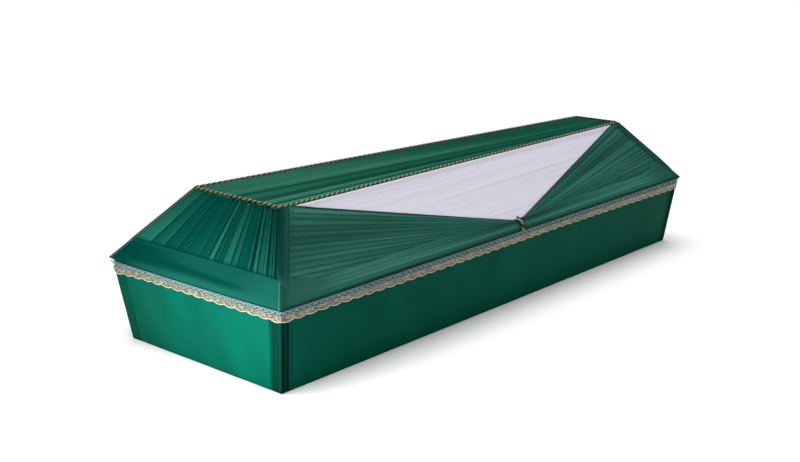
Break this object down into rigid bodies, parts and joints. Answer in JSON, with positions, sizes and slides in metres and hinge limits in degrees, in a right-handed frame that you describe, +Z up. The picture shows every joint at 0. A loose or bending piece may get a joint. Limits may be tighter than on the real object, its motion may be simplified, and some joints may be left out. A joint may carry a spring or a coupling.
{
  "type": "cloth-covered cremation container",
  "caption": "Tapered cremation container with a lift-off hipped lid, covered in pleated green cloth with white side panels, swags, lace and twisted cord.",
  "frame": {"origin": "on the ground, under the middle of the lid's rim", "axes": "+X from the head end to the foot end, -Y towards the right-hand side, +Z up"},
  "size_m": [2, 0.7134, 0.436],
  "materials": {
    "kraft_board": "plain brown kraft corrugated board",
    "green_satin": "woven polyester satin with a soft sheen",
    "white_satin": "soft white lining cloth with a dull sheen",
    "lace_ribbon": "woven lace ribbon, pale net above a metallic gold band with a white scalloped edge",
    "twisted_cord": "two-ply twisted cord, one ply metallic gold and one black"
  },
  "bodies": {
    "root": {"tray_board": "kraft_board", "lid_board": "kraft_board", "tray_cloth": "green_satin", "lid_top_cloth": "green_satin", "head_pleats": "green_satin", "head_hem_band": "green_satin", "foot_pleats": "green_satin", "foot_hem_band": "green_satin", "right_swag": "green_satin", "left_swag": "green_satin", "head_right_corner_strip": "green_satin", "foot_right_corner_strip": "green_satin", "head_left_corner_strip": "green_satin", "foot_left_corner_strip": "green_satin", "right_white_panel": "white_satin", "left_white_panel": "white_satin", "lace_trim": "lace_ribbon", "lid_top_cord": "twisted_cord", "right_tie_cord": "twisted_cord", "left_tie_cord": "twisted_cord"}
  },
  "joints": []
}
